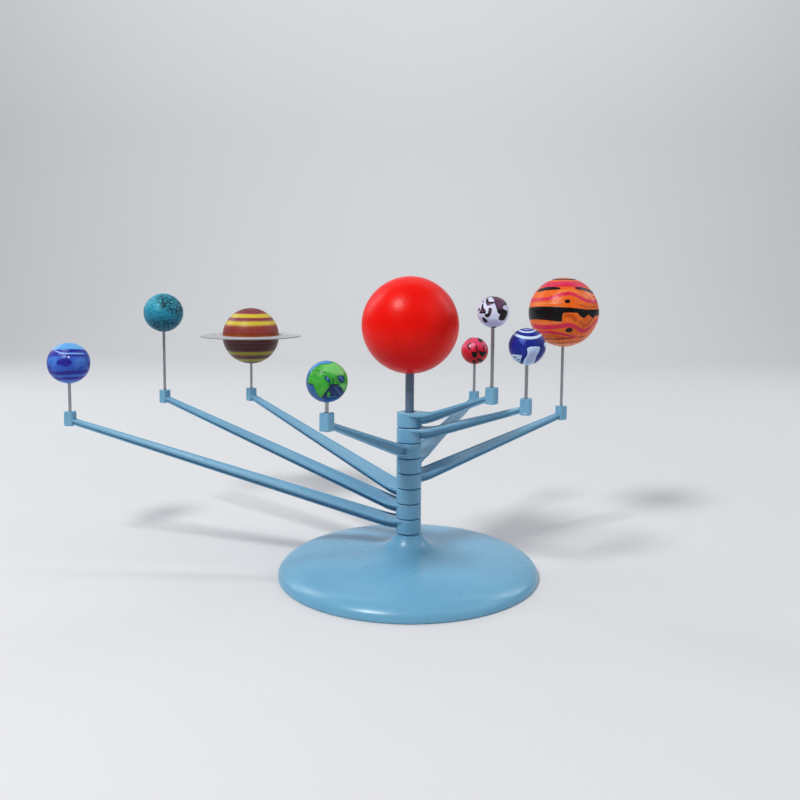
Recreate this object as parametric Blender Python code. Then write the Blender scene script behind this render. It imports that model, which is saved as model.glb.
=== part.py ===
"""A hand-turned orrery: a sun on a post, and eight planets on arms that turn freely about it.

Metres, +Z up. The origin is on the table, on the post's axis. Every arm is modelled
along its own +X under an empty on that axis, which holds the arm's heading, so the
empties are the joints. Sizes below are in millimetres.
"""

import math

import bmesh
import bpy
from mathutils import Matrix, Vector

MM = 0.001

# --- base and post ---------------------------------------------------------
BASE_R = 67.8  # radius at the table
SHELL = 2.0  # wall of the base
NECK_R = 6.95  # top of the base's flared neck
COLUMN_Z = 21.64  # height at which the stack of hubs begins
POST_R = 2.3
POST_FOOT_Z = 0.0  # the post ends level with the base's rim
BOSS_R = 5.0
BOSS_FOOT_Z = 1.2
GAP = 0.3  # between pieces that don't slide on each other
BASE_SEGMENTS = 56

# --- hubs and arms ----------------------------------------------------------
PITCH = 8.0  # one hub and the groove below it
HUB_R = 6.55
HUB_CHAMFER = 0.3
HUB_SEGMENTS = 28
RUN_CLEARANCE = 0.1  # hub bore over the post, on the radius
SOCKET_SIDE = 5.0
SOCKET_HEIGHT = 7.57
SOCKET_CORNER = 1.1
FLANGE = 1.5  # thickness of an arm's upper flange
FLANGE_CHAMFER = 0.35
FOOT_FLANGE = 0.9  # thickness of its lower flange
WEB_HALF = 0.9  # half of the web's thickness
TOP_TIP_HALF = 1.9  # half width of the upper flange at the socket
FOOT_HUB_HALF = 1.9  # half width of the lower flange at the hub
FOOT_TIP_HALF = 1.35
BEND = (6.0, 8.5, 11.0, 14.0)  # radii through which an arm bends upwards
HEEL = 2.1  # height of an arm's underside above its hub's underside

# --- rods, balls and ring ---------------------------------------------------
ROD_R = 0.85
HOLE_R = 1.15
SOCKET_HOLE = 5.0
BALL_HOLE = 6.5
RING_R = 31.9
RING_THICK = 0.8
SUN_R = 25.1
SUN_Z = 130.35
SUN_HOLE = 12.0

# name, reach of the arm, heading in degrees, top of the socket, height of the
# ball's centre, ball's radius, share of the socket above the beam, ball's colour
PLANETS = (
    ("mercury", 47.0, -31.6, 101.6, 138.4, 7.70, 0.55, (0.72, 0.68, 0.80)),
    ("venus", 61.0, -19.8, 95.7, 121.6, 9.20, 0.55, (0.16, 0.27, 0.72)),
    ("earth", 75.0, -119.0, 95.1, 109.0, 9.20, 0.60, (0.10, 0.42, 0.74)),
    ("mars", 93.0, 64.7, 84.9, 110.0, 8.35, 0.55, (0.78, 0.22, 0.24)),
    ("jupiter", 107.6, 33.8, 80.0, 135.2, 20.25, 0.55, (0.90, 0.36, 0.14)),
    ("saturn", 149.3, 133.3, 82.3, 116.3, 17.90, 0.55, (0.50, 0.16, 0.15)),
    ("uranus", 182.7, 148.0, 82.3, 131.2, 12.10, 0.55, (0.10, 0.52, 0.52)),
    ("neptune", 195.8, 168.5, 77.5, 105.0, 11.60, 0.55, (0.42, 0.55, 0.86)),
)

PLASTIC = (0.25, 0.46, 0.62)
STEEL = (0.62, 0.63, 0.65)


def clear_scene():
    for obj in list(bpy.data.objects):
        bpy.data.objects.remove(obj, do_unlink=True)
    for block in list(bpy.data.meshes):
        bpy.data.meshes.remove(block)
    for block in list(bpy.data.materials):
        bpy.data.materials.remove(block)


def material(name, colour, roughness, metallic=0.0):
    mat = bpy.data.materials.new(name)
    mat.use_nodes = True
    shader = mat.node_tree.nodes["Principled BSDF"]
    shader.inputs["Base Color"].default_value = (*colour, 1.0)
    shader.inputs["Roughness"].default_value = roughness
    shader.inputs["Metallic"].default_value = metallic
    mat.diffuse_color = (*colour, 1.0)
    return mat


def add(name, mesh, parent=None, mat=None):
    obj = bpy.data.objects.new(name, mesh)
    bpy.context.scene.collection.objects.link(obj)
    if mat:
        mesh.materials.append(mat)
    if parent:
        obj.parent = parent
    return obj


def revolve(name, profile, segments, parent=None, mat=None, closed=False, at=(0, 0, 0)):
    """A profile of (radius, height) turned about Z by a Screw modifier."""
    mesh = bpy.data.meshes.new(name)
    points = [(r * MM, 0.0, z * MM) for r, z in profile]
    edges = [(i, i + 1) for i in range(len(points) - 1)]
    if closed:
        edges.append((len(points) - 1, 0))
    mesh.from_pydata(points, edges, [])
    obj = add(name, mesh, parent, mat)
    obj.location = [v * MM for v in at]
    screw = obj.modifiers.new("turn", "SCREW")
    screw.axis = "Z"
    screw.angle = math.tau
    screw.steps = screw.render_steps = segments
    screw.screw_offset = 0.0
    screw.use_merge_vertices = True
    screw.merge_threshold = 0.00001
    screw.use_normal_calculate = True
    screw.use_smooth_shade = True
    return obj


def helper(obj):
    obj.hide_render = True
    obj.display_type = "WIRE"
    return obj


def boolean(obj, other, operation):
    mod = obj.modifiers.new(f"{operation.lower()}_{other.name}", "BOOLEAN")
    mod.operation = operation
    mod.solver = "EXACT"
    mod.object = other


def cylinder(name, radius, low, high, segments, x=0.0, parent=None):
    """A capped cylinder, turned half a step so that its edges miss those of a turned piece."""
    mesh = bmesh.new()
    bmesh.ops.create_cone(
        mesh,
        cap_ends=True,
        segments=segments,
        radius1=radius * MM,
        radius2=radius * MM,
        depth=(high - low) * MM,
        matrix=Matrix.Translation(Vector((x, 0.0, (low + high) / 2)) * MM) @ Matrix.Rotation(math.pi / segments, 4, "Z"),
    )
    data = bpy.data.meshes.new(name)
    mesh.to_mesh(data)
    mesh.free()
    return add(name, data, parent)


# --- base -------------------------------------------------------------------
def base(mat):
    """A shallow bell with a flared neck, hollow below, with a boss that holds the post."""
    outside = [
        (BASE_R, 0.0), (BASE_R, 1.7), (BASE_R - 0.5, 3.2), (BASE_R - 1.8, 4.8), (BASE_R - 4.0, 6.4),
        (BASE_R - 7.3, 7.9), (BASE_R - 12.0, 9.1), (BASE_R - 19.0, 10.2), (BASE_R - 28.0, 11.2),
        (BASE_R - 38.0, 12.0), (BASE_R - 46.0, 12.6), (18.0, 13.1), (14.6, 13.9), (12.0, 15.1),
        (10.0, 16.6), (8.6, 18.4), (7.7, 20.0), (NECK_R + 0.2, 20.9),
        (NECK_R, COLUMN_Z - GAP),
    ]
    bore = POST_R + GAP
    inside = [
        (bore, COLUMN_Z - GAP), (bore, BOSS_FOOT_Z), (BOSS_R, BOSS_FOOT_Z), (BOSS_R, 11.0 - SHELL / 2),
        (7.0, 13.1 - SHELL), (16.0, 13.0 - SHELL), (BASE_R - 38.0, 12.0 - SHELL),
        (BASE_R - 19.6, 10.2 - SHELL), (BASE_R - 12.6, 9.1 - SHELL), (BASE_R - 8.2, 7.8 - SHELL),
        (BASE_R - 5.0, 5.7 - SHELL), (BASE_R - 3.0, 1.7), (BASE_R - 2.6, 0.0),
    ]
    return revolve("base", outside + inside, BASE_SEGMENTS, mat=mat, closed=True)


# --- arms -------------------------------------------------------------------
def blend(x, end):
    """How far up the bend a point of the arm is: flat at the hub, then a steady slope, 1 at the end."""
    first, last = BEND[0], BEND[-1]
    middle = (first + last) / 2
    slope = 1.0 / (end - middle)
    if x <= first:
        return 0.0
    if x >= last:
        return (x - middle) * slope
    return 0.5 * slope * (x - first) ** 2 / (last - first)


def beam(name, parent, hub_low, reach, socket_top, above):
    """The arm between hub and socket: two flanges that taper and the web between them."""
    end = reach - SOCKET_SIDE / 2
    hub_top = hub_low + PITCH - GAP
    tip_top = socket_top - above * SOCKET_HEIGHT
    tip_foot = socket_top - SOCKET_HEIGHT
    stations = [0.0, *BEND, end, end + 1.2]
    mesh = bmesh.new()
    rings = []
    for x in stations:
        t = min(blend(x, end), 1.0)
        width = min(x / end, 1.0)
        top = hub_top - 0.06 + (tip_top - hub_top + 0.06) * t
        foot = hub_low + HEEL + (tip_foot + 0.12 - hub_low - HEEL) * t
        upper = (HUB_R - 0.25) + (TOP_TIP_HALF - HUB_R + 0.25) * width
        lower = FOOT_HUB_HALF + (FOOT_TIP_HALF - FOOT_HUB_HALF) * width
        half = [
            (FLANGE_CHAMFER - upper, top), (-upper, top - FLANGE_CHAMFER), (-upper, top - FLANGE),
            (-WEB_HALF, top - FLANGE), (-WEB_HALF, foot + FOOT_FLANGE), (-lower, foot + FOOT_FLANGE),
            (-lower, foot),
        ]
        outline = half + [(-y, z) for y, z in reversed(half)]
        rings.append([mesh.verts.new((x * MM, y * MM, z * MM)) for y, z in outline])
    for near, far in zip(rings, rings[1:]):
        for i in range(len(near)):
            j = (i + 1) % len(near)
            mesh.faces.new((near[i], near[j], far[j], far[i]))
    mesh.faces.new(list(reversed(rings[0])))
    mesh.faces.new(rings[-1])
    bmesh.ops.recalc_face_normals(mesh, faces=mesh.faces)
    data = bpy.data.meshes.new(name)
    mesh.to_mesh(data)
    mesh.free()
    return helper(add(name, data, parent))


def socket(name, parent, reach, top):
    """A square block with rounded edges, which takes the rod."""
    mesh = bmesh.new()
    bmesh.ops.create_cube(mesh, size=1.0)
    size = (SOCKET_SIDE * MM, SOCKET_SIDE * MM, SOCKET_HEIGHT * MM)
    bmesh.ops.scale(mesh, vec=size, verts=mesh.verts)
    upright = [e for e in mesh.edges if abs(e.verts[0].co.z - e.verts[1].co.z) > 0.001]
    bmesh.ops.bevel(mesh, geom=upright, offset=SOCKET_CORNER * MM, segments=2, profile=0.5, affect="EDGES")
    rim = [e for e in mesh.edges if abs(e.verts[0].co.z - e.verts[1].co.z) < 1e-6]
    bmesh.ops.bevel(mesh, geom=rim, offset=0.4 * MM, segments=1, profile=0.5, affect="EDGES")
    bmesh.ops.translate(mesh, vec=Vector((reach, 0.0, top - SOCKET_HEIGHT / 2)) * MM, verts=mesh.verts)
    data = bpy.data.meshes.new(name)
    mesh.to_mesh(data)
    mesh.free()
    return helper(add(name, data, parent))


def arm(planet, index, pivot, mat):
    name, reach, _, top, _, _, above, _ = planet
    low = COLUMN_Z + PITCH * (len(PLANETS) - 1 - index)
    high = low + PITCH - GAP
    hub = revolve(
        f"arm_{name}",
        [
            (0.0, low), (HUB_R - HUB_CHAMFER, low), (HUB_R, low + HUB_CHAMFER),
            (HUB_R, high - HUB_CHAMFER), (HUB_R - HUB_CHAMFER, high), (0.0, high),
        ],
        HUB_SEGMENTS,
        pivot,
        mat,
    )
    boolean(hub, beam(f"beam_{name}", pivot, low, reach, top, above), "UNION")
    boolean(hub, socket(f"socket_{name}", pivot, reach, top), "UNION")
    bore = cylinder(f"bore_{name}", POST_R + RUN_CLEARANCE, low - 2, high + 2, HUB_SEGMENTS, parent=pivot)
    boolean(hub, helper(bore), "DIFFERENCE")
    hole = cylinder(f"hole_{name}", HOLE_R, top - SOCKET_HOLE, top + 2, 16, reach, pivot)
    boolean(hub, helper(hole), "DIFFERENCE")
    normals = hub.modifiers.new("normals", "WEIGHTED_NORMAL")
    normals.weight = 60
    return hub


# --- round pieces -----------------------------------------------------------
def ball(name, radius, centre, hole_r, hole, segments, rings, mat, parent=None, x=0.0):
    """A ball with a blind hole up its underside."""
    low = math.acos(hole_r / radius)
    profile = []
    for i in range(rings + 1):
        angle = math.pi / 2 - (math.pi / 2 + low) * i / rings
        profile.append((radius * math.cos(angle) if i else 0.0, radius * math.sin(angle)))
    profile[-1] = (hole_r, -radius * math.sin(low))
    mouth = profile[-1][1]
    profile += [(hole_r, mouth + hole), (0.0, mouth + hole)]
    return revolve(name, profile, segments, parent, mat, at=(x, 0.0, centre))


def rod(name, reach, low, high, mat, parent):
    chamfer = 0.2
    return revolve(
        name,
        [(0.0, low), (ROD_R - chamfer, low), (ROD_R, low + chamfer),
         (ROD_R, high - chamfer), (ROD_R - chamfer, high), (0.0, high)],
        12,
        parent,
        mat,
        at=(reach, 0.0, 0.0),
    )


def build():
    clear_scene()
    base(material("base_plastic", PLASTIC, 0.32))
    revolve(
        "post",
        [(0.0, POST_FOOT_Z), (POST_R - 0.3, POST_FOOT_Z), (POST_R, POST_FOOT_Z + 0.3),
         (POST_R, SUN_Z - SUN_R + SUN_HOLE - 1.2), (POST_R - 0.4, SUN_Z - SUN_R + SUN_HOLE - 0.8),
         (0.0, SUN_Z - SUN_R + SUN_HOLE - 0.8)],
        HUB_SEGMENTS,
        mat=material("post_plastic", (0.20, 0.33, 0.47), 0.3),
    )
    ball("sun", SUN_R, SUN_Z, POST_R + GAP, SUN_HOLE, 36, 18, material("sun_paint", (0.80, 0.03, 0.03), 0.42))

    for index, planet in enumerate(PLANETS):
        name, reach, heading, top, centre, radius, _, colour = planet
        pivot = bpy.data.objects.new(f"pivot_{name}", None)
        bpy.context.scene.collection.objects.link(pivot)
        pivot.rotation_euler = (0.0, 0.0, math.radians(heading))
        pivot.empty_display_size = 0.02

        arm(planet, index, pivot, material(f"arm_{name}_plastic", PLASTIC, 0.34))

        mouth = centre - math.sqrt(radius**2 - HOLE_R**2)
        rod(f"rod_{name}", reach, top - SOCKET_HOLE + GAP, mouth + BALL_HOLE - GAP,
            material(f"rod_{name}_steel", STEEL, 0.25, 1.0), pivot)
        big = radius > 15
        ball(f"ball_{name}", radius, centre, HOLE_R, BALL_HOLE, 32 if big else 24, 15 if big else 11,
             material(f"ball_{name}_paint", colour, 0.5), pivot, reach)
        if name == "saturn":
            inner = radius + GAP
            half = RING_THICK / 2
            revolve(
                "ring_saturn",
                [(inner, -half), (RING_R - 0.25, -half), (RING_R, -half + 0.25),
                 (RING_R, half - 0.25), (RING_R - 0.25, half), (inner, half)],
                48,
                pivot,
                material("ring_paint", (0.86, 0.84, 0.76), 0.5),
                closed=True,
                at=(reach, 0.0, centre),
            )


build()
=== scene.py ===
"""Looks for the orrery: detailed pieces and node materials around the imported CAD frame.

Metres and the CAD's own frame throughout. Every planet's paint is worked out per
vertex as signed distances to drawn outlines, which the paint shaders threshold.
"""

import math

import bmesh
import bpy
import numpy as np
from mathutils import Matrix, Vector


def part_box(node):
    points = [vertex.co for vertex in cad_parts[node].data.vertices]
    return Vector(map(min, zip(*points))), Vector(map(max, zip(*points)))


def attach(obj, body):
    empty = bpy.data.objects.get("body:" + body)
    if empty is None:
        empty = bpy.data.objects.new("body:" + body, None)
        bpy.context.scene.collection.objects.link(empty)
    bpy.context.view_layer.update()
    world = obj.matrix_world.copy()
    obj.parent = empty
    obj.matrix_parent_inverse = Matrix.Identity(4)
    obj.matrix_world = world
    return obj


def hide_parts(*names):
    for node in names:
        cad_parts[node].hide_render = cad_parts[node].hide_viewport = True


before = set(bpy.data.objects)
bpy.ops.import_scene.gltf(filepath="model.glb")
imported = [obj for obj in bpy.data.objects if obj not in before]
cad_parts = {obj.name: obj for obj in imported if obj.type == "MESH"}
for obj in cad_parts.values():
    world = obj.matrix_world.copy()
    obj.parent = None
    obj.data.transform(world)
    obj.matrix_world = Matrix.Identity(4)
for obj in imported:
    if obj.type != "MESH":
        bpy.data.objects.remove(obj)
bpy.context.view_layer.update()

MM = 0.001
SCENE = bpy.context.scene

# --- the camera, at the photograph's angle ----------------------------------
CAMERA_AT = Vector((0.0, -0.4332, 0.1554))
PITCH_DOWN = 0.092
ROLL = 0.009
LENS = 38.0


def camera():
    data = bpy.data.cameras.new("camera")
    data.lens = LENS
    data.sensor_width = 36.0
    data.shift_x = -0.0125
    data.shift_y = -0.0575
    data.clip_start = 0.01
    data.clip_end = 20.0
    obj = bpy.data.objects.new("camera", data)
    SCENE.collection.objects.link(obj)
    turn = Matrix.Rotation(math.pi / 2 - PITCH_DOWN, 4, "X") @ Matrix.Rotation(ROLL, 4, "Z")
    obj.matrix_world = Matrix.Translation(CAMERA_AT) @ turn
    SCENE.camera = obj
    return obj


CAMERA = camera()
CAMERA_RIGHT = (CAMERA.matrix_world.to_3x3() @ Vector((1, 0, 0))).normalized()


# --- mesh helpers -----------------------------------------------------------
def new_object(name, mesh, at=(0.0, 0.0, 0.0), angle=0.0):
    obj = bpy.data.objects.new(name, mesh)
    SCENE.collection.objects.link(obj)
    obj.matrix_world = Matrix.Translation(Vector(at)) @ Matrix.Rotation(angle, 4, "Z")
    return obj


def mesh_of(name, verts, faces, smooth=True):
    mesh = bpy.data.meshes.new(name)
    mesh.from_pydata([tuple(v) for v in verts], [], [tuple(f) for f in faces])
    mesh.update()
    if smooth:
        mesh.polygons.foreach_set("use_smooth", np.ones(len(mesh.polygons), bool))
    return mesh


def turned(profile, segments, closed=False, caps=False, start=0.0):
    """Vertices and faces of a (radius, height) profile turned about Z; radius 0 makes a pole, caps close the ends flat."""
    verts, rings, faces = [], [], []
    angles = start + np.arange(segments) * (math.tau / segments)
    ca, sa = np.cos(angles), np.sin(angles)
    for r, z in profile:
        if r < 1e-9:
            rings.append([len(verts)])
            verts.append((0.0, 0.0, z))
        else:
            rings.append(list(range(len(verts), len(verts) + segments)))
            verts += [(r * c, r * s, z) for c, s in zip(ca, sa)]
    pairs = list(zip(rings, rings[1:]))
    if closed:
        pairs.append((rings[-1], rings[0]))
    for a, b in pairs:
        for i in range(segments):
            j = (i + 1) % segments
            if len(a) == 1 and len(b) == 1:
                continue
            if len(a) == 1:
                faces.append((a[0], b[j], b[i]))
            elif len(b) == 1:
                faces.append((a[i], a[j], b[0]))
            else:
                faces.append((a[i], a[j], b[j], b[i]))
    if caps:
        faces.append(tuple(reversed(rings[0])))
        faces.append(tuple(rings[-1]))
    return verts, faces


def outward(mesh):
    work = bmesh.new()
    work.from_mesh(mesh)
    bmesh.ops.recalc_face_normals(work, faces=work.faces)
    work.to_mesh(mesh)
    work.free()


def arc(cx, cz, radius, a0, a1, steps):
    """Points of an arc in the (r, z) plane, angles in degrees."""
    return [(cx + radius * math.cos(math.radians(a0 + (a1 - a0) * i / steps)),
             cz + radius * math.sin(math.radians(a0 + (a1 - a0) * i / steps))) for i in range(steps + 1)]


def smooth_line(points, spacing):
    """A curve through the points (Catmull-Rom), resampled about every `spacing`."""
    p = [np.array(q, float) for q in points]
    p = [2 * p[0] - p[1]] + p + [2 * p[-1] - p[-2]]
    out = []
    for i in range(1, len(p) - 2):
        steps = max(1, int(round(np.linalg.norm(p[i + 1] - p[i]) / spacing)))
        t0, t1 = 0.0, np.linalg.norm(p[i] - p[i - 1]) ** 0.5
        t2 = t1 + np.linalg.norm(p[i + 1] - p[i]) ** 0.5
        t3 = t2 + np.linalg.norm(p[i + 2] - p[i + 1]) ** 0.5
        for s in range(steps):
            t = t1 + (t2 - t1) * s / steps
            a1 = (t1 - t) / (t1 - t0) * p[i - 1] + (t - t0) / (t1 - t0) * p[i]
            a2 = (t2 - t) / (t2 - t1) * p[i] + (t - t1) / (t2 - t1) * p[i + 1]
            a3 = (t3 - t) / (t3 - t2) * p[i + 1] + (t - t2) / (t3 - t2) * p[i + 2]
            b1 = (t2 - t) / (t2 - t0) * a1 + (t - t0) / (t2 - t0) * a2
            b2 = (t3 - t) / (t3 - t1) * a2 + (t - t1) / (t3 - t1) * a3
            out.append(tuple((t2 - t) / (t2 - t1) * b1 + (t - t1) / (t2 - t1) * b2))
    out.append(tuple(p[-2]))
    return out


def in_mm(points):
    return [(r * MM, z * MM) for r, z in points]


def combine(obj, other, operation):
    """A Boolean, applied; the other object goes."""
    mod = obj.modifiers.new("shape", "BOOLEAN")
    mod.operation = operation
    mod.solver = "EXACT"
    mod.object = other
    bpy.context.view_layer.update()
    graph = bpy.context.evaluated_depsgraph_get()
    made = bpy.data.meshes.new_from_object(obj.evaluated_get(graph), depsgraph=graph)
    obj.modifiers.clear()
    old, obj.data = obj.data, made
    bpy.data.meshes.remove(old)
    gone = other.data
    bpy.data.objects.remove(other)
    bpy.data.meshes.remove(gone)


def finish_shading(obj, angle=32.0):
    mesh = obj.data
    mesh.polygons.foreach_set("use_smooth", np.ones(len(mesh.polygons), bool))
    mesh.set_sharp_from_angle(angle=math.radians(angle))
    mod = obj.modifiers.new("normals", "WEIGHTED_NORMAL")
    mod.keep_sharp = True
    mod.weight = 60


# --- shaders ----------------------------------------------------------------
def srgb(r, g, b):
    return tuple(c / 12.92 if c <= 0.04045 else ((c + 0.055) / 1.055) ** 2.4 for c in (r / 255, g / 255, b / 255))


class Shader:
    """A Principled material and short names for the nodes that feed it."""

    def __init__(self, name, **sockets):
        self.material = bpy.data.materials.new(name)
        self.material.use_nodes = True
        self.tree = self.material.node_tree
        self.tree.nodes.clear()
        out = self.add("ShaderNodeOutputMaterial")
        self.bsdf = self.add("ShaderNodeBsdfPrincipled")
        self.tree.links.new(self.bsdf.outputs[0], out.inputs[0])
        self.coords = self.add("ShaderNodeTexCoord").outputs["Object"]
        self.normal = None
        for key, value in sockets.items():
            self.bsdf.inputs[key.replace("_", " ")].default_value = value

    def add(self, kind, **props):
        node = self.tree.nodes.new(kind)
        for key, value in props.items():
            setattr(node, key, value)
        return node

    def feed(self, socket, value):
        if isinstance(value, bpy.types.NodeSocket):
            self.tree.links.new(value, socket)
        elif isinstance(value, (tuple, list)):
            socket.default_value = (*value, 1.0) if len(value) == 3 and len(socket.default_value) == 4 else value
        else:
            socket.default_value = value

    def math(self, operation, a, b=0.0, clamp=False):
        node = self.add("ShaderNodeMath", operation=operation, use_clamp=clamp)
        self.feed(node.inputs[0], a)
        self.feed(node.inputs[1], b)
        return node.outputs[0]

    def stretched(self, scale, offset=(0.0, 0.0, 0.0)):
        node = self.add("ShaderNodeMapping")
        self.feed(node.inputs["Vector"], self.coords)
        node.inputs["Scale"].default_value = scale
        node.inputs["Location"].default_value = offset
        return node.outputs[0]

    def noise(self, scale, detail=3.0, rough=0.5, stretch=(1.0, 1.0, 1.0), offset=(0.0, 0.0, 0.0), twist=0.0):
        node = self.add("ShaderNodeTexNoise")
        self.feed(node.inputs["Vector"], self.stretched(stretch, offset))
        node.inputs["Scale"].default_value = scale
        node.inputs["Detail"].default_value = detail
        node.inputs["Roughness"].default_value = rough
        node.inputs["Distortion"].default_value = twist
        return node.outputs[0]

    def cells(self, scale, feature="DISTANCE_TO_EDGE", stretch=(1.0, 1.0, 1.0)):
        node = self.add("ShaderNodeTexVoronoi", feature=feature)
        self.feed(node.inputs["Vector"], self.stretched(stretch))
        node.inputs["Scale"].default_value = scale
        return node.outputs["Distance"]

    def span(self, value, low, high, to_low=0.0, to_high=1.0, smooth=True):
        node = self.add("ShaderNodeMapRange", interpolation_type="SMOOTHSTEP" if smooth else "LINEAR")
        self.feed(node.inputs["Value"], value)
        for key, number in (("From Min", low), ("From Max", high), ("To Min", to_low), ("To Max", to_high)):
            self.feed(node.inputs[key], number)
        return node.outputs[0]

    def mix(self, share, a, b, blend="MIX"):
        node = self.add("ShaderNodeMix", data_type="RGBA", blend_type=blend)
        self.feed(node.inputs[0], share)
        self.feed(node.inputs[6], a)
        self.feed(node.inputs[7], b)
        return node.outputs[2]

    def attribute(self, name):
        return self.add("ShaderNodeAttribute", attribute_name=name).outputs["Fac"]

    def height(self):
        """The z of the object's own coordinates."""
        node = self.add("ShaderNodeSeparateXYZ")
        self.feed(node.inputs[0], self.coords)
        return node.outputs[2]

    def bump(self, height, distance, strength=1.0):
        node = self.add("ShaderNodeBump")
        node.inputs["Strength"].default_value = strength
        node.inputs["Distance"].default_value = distance
        self.feed(node.inputs["Height"], height)
        if self.normal is not None:
            self.feed(node.inputs["Normal"], self.normal)
        self.normal = node.outputs[0]

    def done(self, colour, roughness):
        self.feed(self.bsdf.inputs["Base Color"], colour)
        self.feed(self.bsdf.inputs["Roughness"], roughness)
        if self.normal is not None:
            self.feed(self.bsdf.inputs["Normal"], self.normal)
        return self.material


def tint(colour, by):
    return tuple(min(1.0, max(0.0, c * by)) for c in colour)


def plastic(name, colour, seed, gloss=0.30):
    """Moulded plastic: faint flow marks and mottling, handling haze, hairline scratches, an orange-peel skin."""
    s = Shader(name, Specular_IOR_Level=0.42, IOR=1.49, Coat_Weight=0.06, Coat_Roughness=0.2)
    flow = s.noise(28.0, 4.0, 0.55, offset=(seed, 0.3 * seed, 0.0), twist=1.4)
    mottle = s.noise(420.0, 3.0, 0.6, offset=(0.0, seed, 0.0))
    made = s.mix(s.span(flow, 0.30, 0.72), tint(colour, 0.965), tint(colour, 1.03))
    made = s.mix(s.span(mottle, 0.35, 0.75, 0.0, 0.30), made, tint(colour, 1.06))
    grey = sum(colour) / 3
    haze = s.noise(95.0, 5.0, 0.65, offset=(0.0, 0.0, seed), twist=0.6)
    pale = tuple(0.8 * c + 0.2 * (grey + 0.08) for c in colour)
    made = s.mix(s.span(haze, 0.54, 0.82, 0.0, 0.30), made, pale)
    hair = s.span(s.noise(1500.0, 2.0, 0.5, stretch=(1.0, 0.04, 0.3), offset=(seed, 0.0, 0.0)), 0.62, 0.74, 0.0, 0.10)
    made = s.mix(hair, made, tint(pale, 1.10))
    grain = s.noise(2600.0, 2.0, 0.5)
    made = s.mix(s.span(grain, 0.35, 0.65, 0.0, 0.30), made, tint(colour, 0.93))
    rough = s.math("ADD", s.span(haze, 0.3, 0.8, gloss - 0.03, gloss + 0.08), s.math("MULTIPLY", hair, 0.3))
    s.bump(s.noise(900.0, 2.0, 0.45), 0.000020, 0.5)
    s.bump(s.noise(5200.0, 2.0, 0.5), 0.000008, 0.4)
    return s.done(made, rough)


def steel(name, seed):
    """Drawn steel wire: lengthwise lines, a few darker stains, slightly uneven shine."""
    s = Shader(name, Metallic=1.0, Specular_IOR_Level=0.5, Anisotropic=0.35)
    lines = s.noise(2600.0, 4.0, 0.6, stretch=(1.0, 1.0, 0.02), offset=(seed, seed, 0.0))
    stains = s.noise(140.0, 4.0, 0.6, offset=(0.0, seed, seed), twist=0.8)
    made = s.mix(lines, srgb(150, 153, 158), srgb(188, 191, 196))
    made = s.mix(s.span(stains, 0.55, 0.85, 0.0, 0.45), made, srgb(112, 110, 110))
    rough = s.math("ADD", s.span(lines, 0.2, 0.8, 0.20, 0.30), s.span(stains, 0.4, 0.8, 0.0, 0.12))
    s.bump(lines, 0.000012, 0.7)
    return s.done(made, rough)


def card(name):
    """Saturn's ring: white plastic sheet, printed with faint circles, a little yellowed."""
    s = Shader(name, Specular_IOR_Level=0.45)
    radius = s.add("ShaderNodeVectorMath", operation="LENGTH")
    s.feed(radius.inputs[0], s.stretched((1.0, 1.0, 0.0)))
    wave = s.add("ShaderNodeTexNoise", noise_dimensions="1D")
    s.feed(wave.inputs["W"], radius.outputs["Value"])
    wave.inputs["Scale"].default_value = 950.0
    wave.inputs["Detail"].default_value = 3.0
    made = s.mix(s.span(wave.outputs[0], 0.35, 0.68), srgb(150, 150, 158), srgb(206, 208, 214))
    spots = s.noise(160.0, 4.0, 0.6, twist=0.5)
    made = s.mix(s.span(spots, 0.5, 0.8, 0.0, 0.4), made, srgb(176, 170, 160))
    s.bump(wave.outputs[0], 0.00004, 0.5)
    s.bump(s.noise(2400.0, 2.0, 0.5), 0.000012, 0.6)
    return s.done(made, s.span(spots, 0.3, 0.8, 0.34, 0.52))


class Paint(Shader):
    """Craft paint on foam: brush streaks, thin places, and layers cut out by the vertex distances."""

    def __init__(self, name, seed, streak=(1.0, 1.0, 5.0), fine=620.0, wobble=0.22, sheen=0.25):
        super().__init__(name, Specular_IOR_Level=sheen)
        self.strokes = self.noise(fine, 5.0, 0.62, stretch=streak, offset=(seed, 0.0, seed), twist=0.4)
        self.patchy = self.noise(150.0, 4.0, 0.6, offset=(0.0, seed, 0.0), twist=0.8)
        self.edge_noise = self.noise(1500.0, 3.0, 0.55, offset=(seed, seed, 0.0))
        self.wobble = wobble
        self.colour = None

    def coat(self, colour, spread=0.16, warm=None):
        """One colour as brushed on: streaks lighter and darker, patches a little warmer or cooler."""
        made = self.mix(self.span(self.strokes, 0.30, 0.72), tint(colour, 1.0 - spread), tint(colour, 1.0 + spread))
        if warm is not None:
            made = self.mix(self.span(self.patchy, 0.42, 0.72, 0.0, 0.75), made, warm)
        return made

    def cover(self, attribute, colour, spread=0.16, warm=None, soft=0.10, wobble=None, share=1.0):
        """A layer where the attribute (millimetres, positive inside) says so, with a hand-painted edge."""
        wobble = self.wobble if wobble is None else wobble
        drift = self.math("MULTIPLY", self.math("SUBTRACT", self.edge_noise, 0.5), 2.0 * wobble)
        drift = self.math("ADD", drift, self.math("MULTIPLY", self.math("SUBTRACT", self.strokes, 0.5), wobble))
        mask = self.span(self.math("ADD", self.attribute(attribute), drift), -soft, soft, 0.0, share)
        self.colour = self.mix(mask, self.colour, self.coat(colour, spread, warm))
        return mask

    def seal(self, low=0.26, high=0.44, ridge=0.00005, foam=0.00004):
        self.bump(self.attribute("seam"), -foam, 0.8)
        self.bump(self.strokes, ridge, 0.8)
        self.bump(self.edge_noise, 0.00002, 0.6)
        return self.done(self.colour, self.span(self.patchy, 0.3, 0.75, low, high))


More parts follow.
